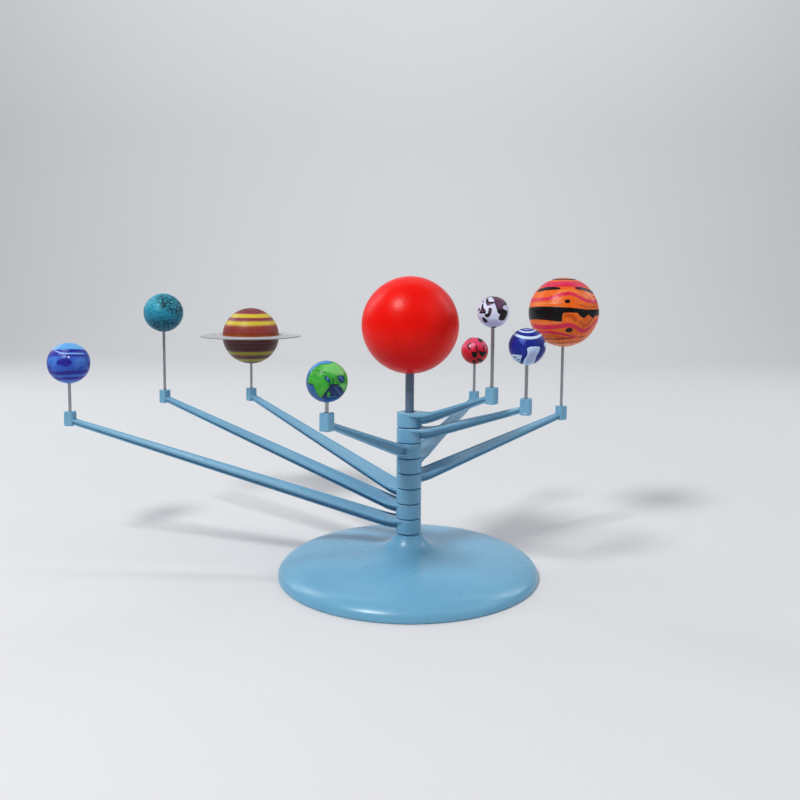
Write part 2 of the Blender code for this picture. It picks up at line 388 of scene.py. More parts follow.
# --- distances on a ball ----------------------------------------------------
def rounded(points, times=2):
    """Corner cutting, for outlines drawn with a brush."""
    p = np.array(points, float)
    for _ in range(times):
        q = np.roll(p, -1, 0)
        p = np.stack((0.75 * p + 0.25 * q, 0.25 * p + 0.75 * q), 1).reshape(-1, 2)
    return p


def near_edges(where, a, b):
    """Squared distance from each point to the nearest of the segments a-b."""
    best = np.full(len(where), 1e9)
    for p, q in zip(a, b):
        e = q - p
        w = where - p
        t = np.clip((w @ e) / max(float(e @ e), 1e-12), 0, 1)
        d = w - t[:, None] * e
        best = np.minimum(best, (d * d).sum(1))
    return best


def inside_of(where, a, b):
    inside = np.zeros(len(where), bool)
    for p, q in zip(a, b):
        crosses = (p[1] > where[:, 1]) != (q[1] > where[:, 1])
        if crosses.any():
            x = (q[0] - p[0]) * (where[:, 1] - p[1]) / (q[1] - p[1] if abs(q[1] - p[1]) > 1e-12 else 1e-12) + p[0]
            inside ^= crosses & (where[:, 0] < x)
    return inside


class Canvas:
    """The ball as the camera sees it. Outlines are given on an 800 x 800 sheet on which the ball's disc has its
    centre at (400, 400) and a radius of 355; a point further out than that lies round the back."""

    def __init__(self, directions, centre, radius):
        self.radius = radius / MM
        toward = (CAMERA_AT - Vector(centre)).normalized()
        right = (CAMERA_RIGHT - CAMERA_RIGHT.dot(toward) * toward).normalized()
        up = toward.cross(right)
        self.axes = np.array([right, up, toward])
        self.directions = directions
        self.base_lon = math.atan2(toward.y, toward.x)
        self.lat = np.arcsin(np.clip(directions[:, 2], -1, 1))
        self.lon = self._lon(directions)
        self.planes = {}

    def _lon(self, d):
        lon = np.arctan2(d[:, 1], d[:, 0]) - self.base_lon
        return (lon + math.pi) % math.tau - math.pi

    def _plane(self, yaw, mirror):
        key = (yaw, mirror)
        if key not in self.planes:
            c, s = math.cos(math.radians(yaw)), math.sin(math.radians(yaw))
            d = self.directions @ np.array([[c, -s, 0.0], [s, c, 0.0], [0.0, 0.0, 1.0]])
            p = d @ self.axes.T
            theta = np.arccos(np.clip(p[:, 2], -1, 1))
            stretch = theta / np.maximum(np.sin(theta), 1e-6)
            stretch = np.where(theta < 1e-4, 1.0, stretch)
            flat = p[:, :2] * stretch[:, None]
            if mirror:
                flat[:, 0] = -flat[:, 0]
            self.planes[key] = flat
        return self.planes[key]

    @staticmethod
    def _flat(points):
        p = (np.array(points, float) - 400.0) / 355.0
        p[:, 1] = -p[:, 1]
        rho = np.hypot(p[:, 0], p[:, 1])
        theta = np.where(rho <= 1, np.arcsin(np.clip(rho, 0, 1)), math.pi / 2 + (rho - 1) * 1.5)
        return p * (theta / np.maximum(rho, 1e-9))[:, None]

    def patch(self, points, yaw=0, mirror=False, times=2):
        outline = self._flat(rounded(points, times))
        where = self._plane(yaw, mirror)
        nxt = np.roll(outline, -1, 0)
        d = np.sqrt(near_edges(where, outline, nxt))
        return np.where(inside_of(where, outline, nxt), d, -d) * self.radius

    def oval(self, centre, size, yaw=0, mirror=False, tilt=0.0):
        c, s = math.cos(math.radians(tilt)), math.sin(math.radians(tilt))
        ring = [(size[0] * math.cos(a), size[1] * math.sin(a)) for a in np.linspace(0, math.tau, 20, endpoint=False)]
        return self.patch([(centre[0] + c * x - s * y, centre[1] + s * x + c * y) for x, y in ring], yaw, mirror, 0)

    def stroke(self, points, width, yaw=0, mirror=False):
        line = self._flat(np.array(smooth_line(points, 40.0)))
        where = self._plane(yaw, mirror)
        d = np.sqrt(near_edges(where, line[:-1], line[1:]))
        return (width / 2 / 355.0 - d) * self.radius

    def _round(self, points, back):
        """Latitude at each vertex's longitude, from sheet points on the front and (longitude, latitude) degrees behind."""
        p = (np.array(points, float) - 400.0) / 355.0
        u, v = p[:, 0], -p[:, 1]
        rho = np.maximum(np.hypot(u, v), 1e-9)
        fit = np.minimum(1.0, 0.998 / rho)
        u, v = u * fit, v * fit
        d = u[:, None] * self.axes[0] + v[:, None] * self.axes[1] + np.sqrt(np.maximum(0, 1 - u * u - v * v))[:, None] * self.axes[2]
        lon, lat = list(self._lon(d)), list(np.arcsin(d[:, 2]))
        for a, b in back:
            lon.append(math.radians((a + 180) % 360 - 180))
            lat.append(math.radians(b))
        order = np.argsort(lon)
        lon, lat = np.array(lon)[order], np.array(lat)[order]
        return np.interp(self.lon, np.concatenate((lon - math.tau, lon, lon + math.tau)), np.tile(lat, 3))

    def belt(self, top, bottom, back_top=(), back_bottom=()):
        """A belt right round the ball between two edges."""
        return np.minimum(self._round(top, back_top) - self.lat, self.lat - self._round(bottom, back_bottom)) * self.radius

    def ribbon(self, points, width, back=()):
        """A brushed line right round the ball."""
        line = self._round(points, back)
        return (width / 2 / 355.0 - np.abs(self.lat - line) * 0.92) * self.radius

    def zone(self, y_top, y_bottom, wave=0.0, turns=3, phase=0.0):
        """A belt between two heights on the sheet, its edges waved by `wave` millimetres."""
        top = math.asin(max(-1.0, min(1.0, (400 - y_top) / 355)))
        low = math.asin(max(-1.0, min(1.0, (400 - y_bottom) / 355)))
        sway = wave / self.radius * (np.sin(turns * self.lon + phase) + 0.5 * np.sin((2 * turns + 1) * self.lon + 1.7 * phase))
        return np.minimum(top + sway - self.lat, self.lat - low - sway) * self.radius


def union(*parts):
    return np.maximum.reduce(parts)


def both(canvas, kind, *args, yaw=187, mirror=False, **more):
    """The same mark on the front and, turned round, on the back."""
    draw = getattr(canvas, kind)
    return np.maximum(draw(*args, **more), draw(*args, yaw=yaw, mirror=mirror, **more))


# --- balls ------------------------------------------------------------------
def beads(directions, radius, size, seed, flat=1.0, warp=0.0):
    """Foam beads: each vertex's distance, in millimetres, from the seam between the two nearest beads, and a value per bead."""
    rng = np.random.default_rng(seed)
    count = int(4 * math.pi * radius**2 / (0.80 * size**2))
    i = np.arange(count) + 0.5
    z = 1 - 2 * i / count
    a = math.pi * (1 + 5**0.5) * i
    wide = np.sqrt(1 - z * z)
    at = np.stack((wide * np.cos(a), wide * np.sin(a), z), 1) + rng.normal(0, 0.26 * size / radius, (count, 3))
    at = (at / np.linalg.norm(at, axis=1)[:, None]).astype(np.float32)
    at[:, 2] *= flat
    squares = (at * at).sum(1)
    tone = rng.random(count)
    first, second, which = [], [], []
    if warp:
        directions = directions + warp * np.stack([rough_ground(directions, seed + 31 + k, 26, 8.0, 30.0) for k in range(3)], 1)
    for part in np.array_split(directions.astype(np.float32), max(1, len(directions) // 4000)):
        part = part * np.array([1.0, 1.0, flat], np.float32)
        d = np.sqrt(np.maximum(0.0, (part * part).sum(1)[:, None] + squares - 2 * part @ at.T)) * radius
        k = np.argpartition(d, 1, axis=1)[:, :2]
        near = np.take_along_axis(d, k, 1)
        swap = near[:, 0] > near[:, 1]
        first.append(np.where(swap, near[:, 1], near[:, 0]))
        second.append(np.where(swap, near[:, 0], near[:, 1]))
        which.append(np.where(swap, k[:, 1], k[:, 0]))
    return np.concatenate(second) - np.concatenate(first), tone[np.concatenate(which)]


def rough_ground(directions, seed, waves=26, low=3.0, high=11.0):
    """Smooth unevenness over a ball, about -1 to 1."""
    rng = np.random.default_rng(seed)
    total = np.zeros(len(directions))
    for _ in range(waves):
        k = rng.normal(0, 1, 3)
        k *= rng.uniform(low, high) / np.linalg.norm(k)
        total += np.sin(directions @ k + rng.uniform(0, math.tau))
    return total / math.sqrt(waves)


def ball(name, node, body, slot, radius, hole, deep, across, down, bead, groove, seed, painter, mat_maker, seam_width=0.55, flat=1.0, warp=0.0):
    """A painted foam ball on its CAD node: bead seams pressed in, paint standing a little proud, a hole from below."""
    low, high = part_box(node)
    centre = Vector(((low.x + high.x) / 2, (low.y + high.y) / 2, high.z - radius))
    end = math.acos(hole / radius)
    profile = [(0.0, radius)]
    for i in range(1, down + 1):
        angle = math.pi / 2 - (math.pi / 2 + end) * i / down
        profile.append((radius * math.cos(angle), radius * math.sin(angle)))
    shell = len(profile)
    mouth = profile[-1][1]
    profile += [(hole * 0.97, mouth + 0.35 * MM), (hole * 0.97, mouth + deep), (0.0, mouth + deep)]
    verts, faces = turned(profile, across)
    faces = [tuple(reversed(f)) for f in faces]
    co = np.array(verts)
    outer = 1 + (shell - 1) * across
    directions = co[:outer] / np.linalg.norm(co[:outer], axis=1)[:, None]
    gap, tone = beads(directions, radius / MM, bead, seed, flat, warp)
    seam = 1 - np.clip(gap / seam_width, 0, 1)
    seam = seam * seam * (3 - 2 * seam)
    layers, raised = painter(Canvas(directions, centre, radius))
    keep = np.clip((directions[:, 2] + math.sin(end)) / 0.02, 0, 1)
    swell = -groove * seam + 0.35 * groove * (tone - 0.5) + 0.05 * rough_ground(directions, seed + 5)
    for values, thick in raised:
        t = np.clip(values / 0.35 + 0.5, 0, 1)
        swell = swell + thick * t * t * (3 - 2 * t)
    swell = swell - swell.max() * 0.6
    co[:outer] += directions * (swell * keep * MM)[:, None]
    mesh = mesh_of(name, co, faces)
    for key, values in {"seam": seam, "bead": tone, **layers}.items():
        full = np.full(len(co), float(values[-1]), np.float32)
        full[:outer] = values
        mesh.attributes.new(key, "FLOAT", "POINT").data.foreach_set("value", full)
    obj = new_object(name, mesh, centre)
    mesh.materials.append(mat_maker())
    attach(obj, body)
    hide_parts(node)
    return obj


# paint on each ball: signed distances by layer, and how proud each coat stands
def paint_jupiter(c):
    black = union(
        c.belt(
            [(50, 352), (110, 345), (170, 342), (300, 344), (400, 349), (500, 357), (620, 371), (700, 372), (750, 368)],
            [(60, 478), (120, 473), (180, 475), (240, 479), (320, 491), (384, 494), (393, 410), (430, 404), (535, 405),
             (560, 438), (600, 461), (625, 436), (650, 424), (668, 446), (690, 464), (712, 434), (745, 432)],
            [(112, 3.0), (140, 7.0), (175, 8.5), (-150, 6.0), (-120, 9.5)],
            [(108, -9.0), (126, -1.0), (150, -3.5), (158, -13.0), (-170, -15.0), (-150, -11.0), (-128, -14.0)],
        ),
        c.zone(57, 70, 0.10, 3, 0.4),
        both(c, "patch", [(128, 186), (150, 162), (205, 149), (285, 144), (350, 150), (380, 159), (360, 173), (300, 176), (235, 180), (185, 189), (142, 198)]),
        both(c, "patch", [(496, 159), (520, 148), (572, 147), (632, 161), (682, 184), (704, 212), (668, 207), (622, 190), (572, 181), (530, 173)]),
        both(c, "oval", (437, 291), (29, 19)),
        both(c, "oval", (455, 577), (38, 22), tilt=-8),
        both(c, "stroke", [(212, 668), (300, 669), (400, 665), (492, 655)], 17),
        both(c, "stroke", [(545, 658), (575, 648), (604, 644)], 14),
        both(c, "stroke", [(228, 704), (300, 713), (400, 711), (500, 701), (602, 684)], 13),
    )
    pink = union(
        c.zone(84, 141, 0.35, 2, 1.0),
        c.ribbon([(60, 275), (150, 273), (250, 263), (320, 243), (380, 223), (450, 212), (510, 229), (560, 256), (620, 286), (680, 293), (745, 280)],
                 36, [(120, 14), (150, 24), (180, 31), (-150, 26), (-120, 20)]),
        c.ribbon([(62, 532), (130, 545), (200, 552), (330, 545), (440, 526), (500, 536), (550, 570), (590, 591), (640, 574), (690, 522), (738, 472)],
                 46, [(112, -20), (140, -30), (170, -24), (-150, -29), (-120, -21)]),
        both(c, "stroke", [(100, 598), (250, 600), (380, 614), (470, 639), (525, 644)], 32),
    )
    pale = union(
        c.zone(28, 56, 0.1), c.zone(716, 790, 0.2, 3, 2.0),
        # Painted highlight: this pale stroke across the upper middle stands for the lamps' sheen; the other pale marks
        # are pale paint.
        both(c, "stroke", [(330, 205), (450, 180), (545, 205), (640, 255)], 26),
        both(c, "stroke", [(90, 322), (240, 312), (390, 300)], 18),
        both(c, "stroke", [(110, 505), (260, 505), (380, 508)], 13),
    )
    dark = union(
        both(c, "stroke", [(560, 500), (600, 540), (640, 520), (680, 470)], 26),
        both(c, "stroke", [(150, 640), (300, 640), (420, 655)], 20),
        both(c, "stroke", [(560, 330), (650, 350), (730, 345)], 20),
        both(c, "stroke", [(420, 430), (480, 440), (520, 480)], 34),
    )
    return {"black": black, "pink": pink, "pale": pale, "dark": dark}, [(pink, 0.05), (black, 0.09)]


def make_jupiter():
    p = Paint("paint_jupiter", 0.11, (1.0, 1.0, 5.5), 520.0, 0.30)
    p.colour = p.coat(srgb(232, 98, 22), 0.16, srgb(240, 124, 38))
    p.cover("dark", srgb(192, 72, 14), 0.14, srgb(172, 78, 20), soft=0.55, wobble=0.6, share=0.85)
    # Pale paint, with a painted highlight in its stroke across the upper middle.
    p.cover("pale", srgb(232, 128, 76), 0.12, srgb(236, 152, 104), soft=0.5, wobble=0.5, share=0.8)
    p.cover("pink", srgb(212, 32, 78), 0.16, srgb(216, 60, 72), soft=0.16)
    p.cover("black", srgb(5, 5, 7), 0.4, srgb(12, 11, 14), soft=0.07, wobble=0.16)
    return p.seal(0.24, 0.40, 0.00006)


def paint_earth(c):
    continent = [(470, 92), (500, 52), (600, 42), (690, 110), (752, 230), (790, 330), (800, 430), (770, 520), (722, 575),
                 (690, 582), (655, 525), (602, 462), (545, 452), (468, 452), (420, 532), (362, 602), (322, 664), (280, 664),
                 (232, 592), (202, 522), (180, 452), (128, 430), (74, 422), (86, 340), (118, 262), (165, 192), (240, 142), (300, 104), (390, 98)]
    land = union(
        c.patch(continent, times=1), c.patch(continent, yaw=172, mirror=True, times=1),
        both(c, "oval", (431, 611), (27, 47), tilt=8),
        c.oval((40, 620), (60, 34)),
    )
    deep = union(
        both(c, "patch", [(352, 306), (412, 318), (462, 380), (452, 432), (402, 392), (364, 346)]),
        both(c, "patch", [(582, 312), (608, 296), (684, 300), (694, 344), (690, 404), (656, 424), (612, 416), (586, 360)], times=1),
        both(c, "patch", [(468, 462), (602, 452), (690, 572), (686, 626), (602, 682), (452, 702), (330, 692), (360, 604), (420, 532)], times=1),
    )
    island = both(c, "oval", (431, 611), (27, 47), tilt=8)
    deep = np.minimum(deep, -island)
    navy = union(
        both(c, "stroke", [(80, 430), (120, 440), (166, 452)], 20),
        both(c, "stroke", [(438, 462), (500, 452), (560, 448), (594, 442)], 22),
        both(c, "stroke", [(516, 350), (519, 390), (516, 432)], 17),
        both(c, "stroke", [(470, 460), (420, 530), (360, 606), (326, 664)], 15),
        both(c, "stroke", [(600, 456), (650, 520), (690, 574)], 11),
    )
    coast = union(
        both(c, "stroke", [(158, 216), (230, 214), (300, 221), (350, 236), (384, 264)], 17),
        both(c, "stroke", [(470, 452), (505, 380), (480, 320)], 14),
        both(c, "stroke", [(580, 440), (548, 370), (560, 310)], 12),
        both(c, "stroke", [(692, 300), (712, 360), (700, 430)], 12),
    )
    lit = union(
        both(c, "stroke", [(120, 230), (170, 160), (240, 105), (350, 78), (470, 72)], 62),
        both(c, "stroke", [(380, 320), (430, 352), (452, 410)], 26),
    )
    meadow = union(
        both(c, "patch", [(300, 130), (420, 110), (560, 80), (680, 190), (710, 290), (560, 290), (420, 250), (340, 200)]),
        both(c, "patch", [(610, 440), (700, 430), (740, 470), (700, 540), (650, 500)]),
    )
    shore = union(
        both(c, "stroke", [(330, 290), (372, 300), (430, 322), (466, 378), (462, 436)], 10),
        both(c, "stroke", [(340, 310), (372, 366), (410, 404), (448, 438)], 10),
        both(c, "stroke", [(572, 310), (606, 288), (688, 292), (704, 344), (696, 410)], 10),
        both(c, "stroke", [(574, 320), (574, 372), (604, 424), (660, 434), (694, 408)], 10),
        both(c, "stroke", [(132, 330), (190, 300), (230, 250), (300, 240)], 9),
        both(c, "stroke", [(300, 104), (392, 120), (450, 96), (500, 60)], 12),
    )
    coast = union(coast, shore)
    # Painted highlight: light-blue spots inside the lakes.
    painted_lake_highlight = union(
        both(c, "oval", (408, 350), (15, 24), tilt=-30), both(c, "oval", (628, 330), (20, 15)), both(c, "oval", (660, 372), (16, 14)),
        both(c, "stroke", [(540, 500), (590, 560), (620, 612)], 12), both(c, "stroke", [(390, 650), (480, 664), (570, 648)], 12),
    )
    return {"land": land, "rim": land + 0.32, "deep": deep, "navy": navy, "coast": coast, "lit": lit, "meadow": meadow,
            "painted_lake_highlight": painted_lake_highlight}, [(land, 0.08)]


def make_earth():
    p = Paint("paint_earth", 0.23, (1.0, 1.0, 2.2), 640.0, 0.14)
    p.colour = p.coat(srgb(34, 88, 152), 0.16, srgb(50, 116, 182))
    p.cover("lit", srgb(56, 156, 226), 0.12, soft=0.7, wobble=0.4, share=0.95)
    p.cover("rim", srgb(10, 52, 40), 0.2, soft=0.08, share=0.9)
    p.cover("land", srgb(52, 160, 52), 0.2, srgb(90, 184, 66), soft=0.06)
    p.cover("meadow", srgb(118, 196, 110), 0.14, srgb(150, 206, 126), soft=0.9, wobble=0.5, share=0.85)
    p.cover("coast", srgb(18, 84, 32), 0.16, soft=0.14, share=0.9)
    p.cover("deep", srgb(20, 42, 98), 0.25, srgb(40, 80, 142), soft=0.07)
    # Painted highlight: the light-blue spots in the lakes.
    p.cover("painted_lake_highlight", srgb(96, 156, 214), 0.16, soft=0.3, wobble=0.3, share=0.75)
    p.cover("navy", srgb(6, 16, 40), 0.2, soft=0.10, share=0.97)
    return p.seal(0.30, 0.44, 0.00004)


def paint_neptune(c):
    purple = union(
        c.belt([(60, 200), (150, 178), (230, 165), (420, 158), (560, 158), (650, 176), (700, 205)],
               [(60, 215), (150, 210), (230, 212), (300, 206), (420, 206), (560, 208), (650, 214), (720, 232)],
               [(120, 33), (160, 42), (-160, 38), (-120, 34)], [(120, 27), (160, 36), (-160, 31), (-120, 27)]),
        c.belt([(60, 262), (180, 262), (300, 258), (380, 246), (560, 248), (650, 252), (740, 262)],
               [(60, 286), (180, 284), (300, 276), (380, 286), (560, 291), (650, 286), (740, 290)],
               [(110, 22), (150, 26), (-150, 24), (-110, 22)], [(110, 17), (150, 21), (-150, 18), (-110, 17)]),
        both(c, "patch", [(40, 180), (110, 165), (180, 182), (230, 226), (250, 262), (180, 270), (90, 262), (30, 262)]),
        both(c, "patch", [(205, 380), (240, 340), (310, 318), (390, 326), (450, 362), (458, 400), (420, 438), (380, 470), (320, 452), (250, 432), (205, 416)], times=1),
        c.zone(506, 574, 0.18, 2, 0.5), c.zone(622, 668, 0.18, 3, 1.4),
        c.oval((90, 500), (26, 60)), c.oval((726, 430), (20, 70)),
    )
    streak = union(
        both(c, "stroke", [(186, 194), (240, 214), (300, 236), (400, 240), (520, 236), (640, 238)], 22),
        both(c, "stroke", [(290, 176), (350, 180), (400, 182)], 12),
        both(c, "oval", (332, 288), (30, 13)),
    )
    cap = c.zone(-20, 164, 0.25, 3, 0.7)
    # Painted highlight: a white dot standing for a glint on a lip of paint; the dot also stands proud as a raised blob.
    spot = both(c, "oval", (400, 300), (17, 15))
    light = union(
        both(c, "patch", [(60, 320), (160, 300), (240, 310), (210, 380), (190, 460), (90, 460)]),
        both(c, "patch", [(470, 320), (620, 310), (690, 380), (640, 460), (480, 470)]),
        c.zone(690, 800, 0.1), c.zone(582, 618, 0.15, 2, 1.1),
    )
    return {"purple": purple, "streak": streak, "cap": cap, "spot": spot, "light": light}, [(purple, 0.04), (spot, 0.25)]


def make_neptune():
    p = Paint("paint_neptune", 0.37, (1.0, 1.0, 6.5), 560.0, 0.24)
    p.colour = p.coat(srgb(46, 84, 184), 0.2, srgb(62, 116, 208))
    p.cover("light", srgb(64, 116, 208), 0.16, srgb(86, 142, 222), soft=0.8, wobble=1.1, share=0.7)
    p.cover("cap", srgb(92, 166, 228), 0.10, srgb(76, 146, 220), soft=0.30)
    p.cover("purple", srgb(34, 32, 142), 0.26, srgb(54, 60, 180), soft=0.22, wobble=0.75)
    p.cover("streak", srgb(142, 176, 230), 0.12, soft=0.22, share=0.95)
    # Painted highlight: the white glint dot.
    p.cover("spot", srgb(232, 222, 244), 0.05, soft=0.12, wobble=0.1)
    return p.seal(0.32, 0.46, 0.00006)


def paint_mercury(c):
    plum = union(
        both(c, "patch", [(330, 42), (400, 24), (520, 28), (610, 80), (672, 160), (706, 236), (690, 252), (646, 246), (606, 288),
                          (612, 322), (660, 346), (706, 366), (724, 420), (704, 482), (662, 572), (600, 592), (518, 578),
                          (528, 502), (556, 442), (502, 432), (482, 344), (452, 252), (430, 190), (424, 110), (380, 80)], times=1),
        both(c, "patch", [(236, 112), (282, 82), (300, 104), (286, 150), (250, 160)]),
        both(c, "patch", [(152, 184), (192, 142), (212, 146), (196, 176), (170, 196)]),
        both(c, "patch", [(228, 104), (284, 112), (302, 172), (410, 160), (440, 204), (360, 222), (282, 268), (244, 222)], times=1),
        both(c, "patch", [(148, 236), (184, 234), (186, 300), (206, 330), (236, 352), (244, 432), (176, 436), (96, 430), (96, 392), (128, 344)], times=1),
        both(c, "patch", [(300, 298), (372, 308), (374, 360), (352, 442), (302, 524), (240, 514), (208, 474), (212, 442), (262, 436), (292, 424), (296, 360)], times=1),
        both(c, "patch", [(146, 514), (188, 510), (232, 546), (280, 586), (266, 640), (222, 634), (176, 588)], times=1),
        both(c, "patch", [(60, 330), (96, 300), (110, 330), (96, 372), (62, 380)]),
        both(c, "oval", (168, 232), (17, 22)), both(c, "stroke", [(60, 470), (92, 520), (104, 560)], 17),
        c.oval((20, 560), (34, 60)), c.oval((420, 745), (60, 24)),
    )
    ash = union(
        both(c, "patch", [(360, 62), (560, 66), (650, 160), (650, 236), (596, 270), (566, 340), (504, 330), (462, 236), (424, 130)]),
        both(c, "patch", [(264, 186), (300, 204), (400, 186), (346, 212), (286, 246)]),
        both(c, "oval", (165, 372), (38, 34)), both(c, "oval", (326, 372), (22, 44)),
    )
    grey = union(
        both(c, "patch", [(100, 460), (300, 560), (460, 560), (560, 620), (640, 620), (500, 740), (300, 740), (140, 620)]),
        both(c, "stroke", [(262, 220), (330, 262), (420, 230)], 30),
    )
    return {"plum": plum, "ash": ash, "grey": grey}, [(plum, 0.06)]


def make_mercury():
    p = Paint("paint_mercury", 0.41, (1.0, 1.0, 2.0), 700.0, 0.14)
    p.colour = p.coat(srgb(216, 218, 242), 0.07, srgb(190, 196, 232))
    p.cover("grey", srgb(176, 166, 204), 0.10, srgb(184, 182, 222), soft=1.1, wobble=0.6, share=0.85)
    p.cover("plum", srgb(28, 10, 20), 0.3, srgb(16, 6, 12), soft=0.07)
    p.cover("ash", srgb(98, 62, 90), 0.2, soft=0.8, wobble=0.5, share=0.9)
    return p.seal(0.36, 0.5, 0.00004)


def paint_venus(c):
    white = union(
        both(c, "stroke", [(100, 120), (150, 158), (210, 192), (300, 222), (400, 238), (490, 240), (570, 228), (630, 200), (668, 168), (700, 120)], 58, mirror=False),
        both(c, "stroke", [(222, 84), (262, 108), (340, 128), (430, 134), (506, 120), (562, 84)], 38, mirror=False),
        both(c, "stroke", [(318, 66), (350, 78), (420, 82), (470, 70), (482, 56)], 17, mirror=False),
        both(c, "patch", [(392, 456), (412, 430), (452, 406), (560, 400), (636, 404), (644, 440), (622, 500), (596, 548), (560, 604),
                          (548, 660), (532, 712), (500, 770), (300, 780), (322, 700), (346, 640), (384, 600), (408, 545), (410, 495)], times=1),
        both(c, "patch", [(92, 548), (150, 556), (230, 560), (300, 566), (302, 600), (284, 640), (270, 700), (204, 706), (140, 660), (96, 610)], times=1),
        both(c, "oval", (733, 366), (18, 42)),
        both(c, "stroke", [(560, 716), (620, 660), (680, 585), (712, 530)], 34),
        both(c, "stroke", [(60, 470), (70, 520), (96, 580)], 16),
    )
    pale = union(
        both(c, "patch", [(430, 500), (560, 480), (590, 520), (540, 620), (520, 700), (380, 740), (370, 660), (420, 590)]),
    )
    gleam = both(c, "patch", [(240, 226), (330, 236), (380, 270), (340, 300), (362, 380), (300, 340), (250, 300)])
    drops = union(
        both(c, "oval", (176, 604), (34, 12), tilt=14), both(c, "oval", (312, 648), (30, 44)), both(c, "oval", (236, 652), (22, 15)), both(c, "oval", (282, 716), (40, 26)),
        both(c, "oval", (612, 560), (20, 34), tilt=20),
    )
    return {"white": white, "pale": pale, "gleam": gleam, "drops": drops}, [(white, 0.08)]


def make_venus():
    p = Paint("paint_venus", 0.53, (1.0, 1.0, 3.0), 620.0, 0.13)
    p.colour = p.coat(srgb(24, 36, 138), 0.2, srgb(20, 30, 112))
    p.cover("gleam", srgb(64, 96, 194), 0.25, soft=0.8, wobble=0.7, share=0.7)
    p.cover("white", srgb(200, 222, 246), 0.06, srgb(170, 196, 238), soft=0.06)
    p.cover("pale", srgb(158, 168, 216), 0.08, srgb(166, 160, 206), soft=0.9, wobble=0.5, share=0.75)
    p.cover("drops", srgb(16, 26, 104), 0.2, soft=0.10, share=0.97)
    return p.seal(0.30, 0.44, 0.00005)


def paint_mars(c):
    black = union(
        both(c, "patch", [(478, 48), (540, 40), (604, 92), (624, 148), (580, 190), (520, 168), (486, 116)]),
        both(c, "stroke", [(290, 206), (232, 246), (232, 310), (288, 362)], 44),
        both(c, "stroke", [(442, 282), (446, 346), (474, 414)], 38),
        both(c, "patch", [(306, 430), (392, 420), (478, 428), (468, 500), (444, 566), (392, 596), (350, 552), (326, 490)], times=1),
        both(c, "patch", [(490, 430), (580, 414), (710, 420), (680, 486), (628, 560), (566, 540), (520, 486)], times=1),
        both(c, "stroke", [(640, 254), (632, 310), (658, 384)], 36),
        both(c, "stroke", [(712, 270), (752, 360), (748, 440), (728, 510)], 56),
        both(c, "patch", [(444, 600), (520, 588), (600, 632), (640, 664), (560, 706), (480, 676)]),
        both(c, "stroke", [(36, 408), (54, 470), (88, 560)], 60),
        both(c, "stroke", [(462, 412), (500, 402), (560, 414)], 24),
        both(c, "patch", [(326, 656), (372, 640), (440, 660), (446, 712), (380, 734), (330, 706)]),
    )
    white = union(
        both(c, "stroke", [(92, 577), (160, 652), (250, 706), (356, 740)], 24),
        both(c, "stroke", [(438, 740), (490, 728), (548, 708), (610, 664), (654, 606)], 26),
        both(c, "stroke", [(676, 300), (694, 330), (684, 366)], 20),
        both(c, "oval", (272, 266), (24, 30)),
        both(c, "oval", (552, 116), (24, 18)),
    )
    pink = union(c.zone(20, 300, 0.8, 3, 0.5), both(c, "patch", [(180, 200), (300, 150), (440, 180), (420, 300), (330, 320), (260, 300)]))
    gleam = both(c, "patch", [(290, 190), (390, 190), (420, 240), (370, 290), (310, 270)])
    return {"black": black, "white": white, "pink": pink, "gleam": gleam}, [(black, 0.06), (white, 0.05)]


def make_mars():
    p = Paint("paint_mars", 0.67, (1.0, 1.0, 2.4), 640.0, 0.16)
    p.colour = p.coat(srgb(202, 16, 40), 0.18, srgb(176, 12, 22))
    p.cover("pink", srgb(218, 68, 108), 0.14, srgb(210, 46, 78), soft=2.0, wobble=1.2, share=0.92)
    p.cover("gleam", srgb(230, 132, 170), 0.08, soft=0.9, wobble=0.4, share=0.6)
    p.cover("white", srgb(216, 198, 204), 0.08, soft=0.14, share=0.85)
    p.cover("black", srgb(8, 8, 9), 0.3, soft=0.09)
    return p.seal(0.32, 0.46, 0.00005)


def paint_saturn(c):
    """Latitude is the paint here; the shader does it from the height, so only a faint wandering line is drawn."""
    return {"line": union(c.zone(574, 580, 0.12, 3, 0.4), c.zone(206, 211, 0.08, 4, 1.0), c.zone(330, 336, 0.10, 3, 2.0), c.zone(160, 165, 0.06, 3, 1.4),
                          c.zone(470, 476, 0.10, 2, 2.6), c.zone(518, 523, 0.12, 3, 0.9), c.zone(640, 646, 0.08, 4, 0.2), c.zone(290, 294, 0.08, 5, 0.7))}, []


def make_saturn():
    p = Paint("paint_saturn", 0.71, (1.0, 1.0, 9.0), 470.0, 0.18)
    height = p.math("DIVIDE", p.height(), SATURN_R)
    drift = p.math("MULTIPLY", p.math("SUBTRACT", p.noise(90.0, 3.0, 0.55, stretch=(1.0, 1.0, 2.5)), 0.5), 0.05)
    fray = p.math("MULTIPLY", p.math("SUBTRACT", p.strokes, 0.5), 0.030)
    height = p.math("ADD", height, p.math("ADD", drift, fray))
    maroon, brick = srgb(128, 50, 56), srgb(140, 52, 44)
    yellow, olive = srgb(206, 184, 48), srgb(142, 136, 34)
    brown, deep = srgb(74, 34, 34), srgb(84, 36, 38)
    steps = (
        (-2.0, deep), (-0.90, olive), (-0.79, deep), (-0.64, olive), (-0.52, brown), (-0.16, srgb(96, 46, 38)),
        (-0.04, srgb(150, 74, 28)), (0.08, srgb(134, 56, 30)), (0.17, brick), (0.38, srgb(176, 116, 60)), (0.43, yellow),
        (0.555, srgb(150, 96, 70)), (0.585, maroon), (0.675, yellow), (0.80, srgb(150, 76, 80)), (0.835, srgb(120, 44, 50)),
    )
    p.colour = p.coat(steps[0][1], 0.12)
    for at, colour in steps[1:]:
        share = p.span(height, at - 0.012, at + 0.012)
        p.colour = p.mix(share, p.colour, p.coat(colour, 0.12))
    p.cover("line", srgb(150, 92, 112), 0.1, soft=0.20, share=0.5)
    thin = p.span(p.patchy, 0.56, 0.78, 0.0, 0.22)
    p.colour = p.mix(thin, p.colour, srgb(176, 122, 84))
    return p.seal(0.33, 0.47, 0.00006)


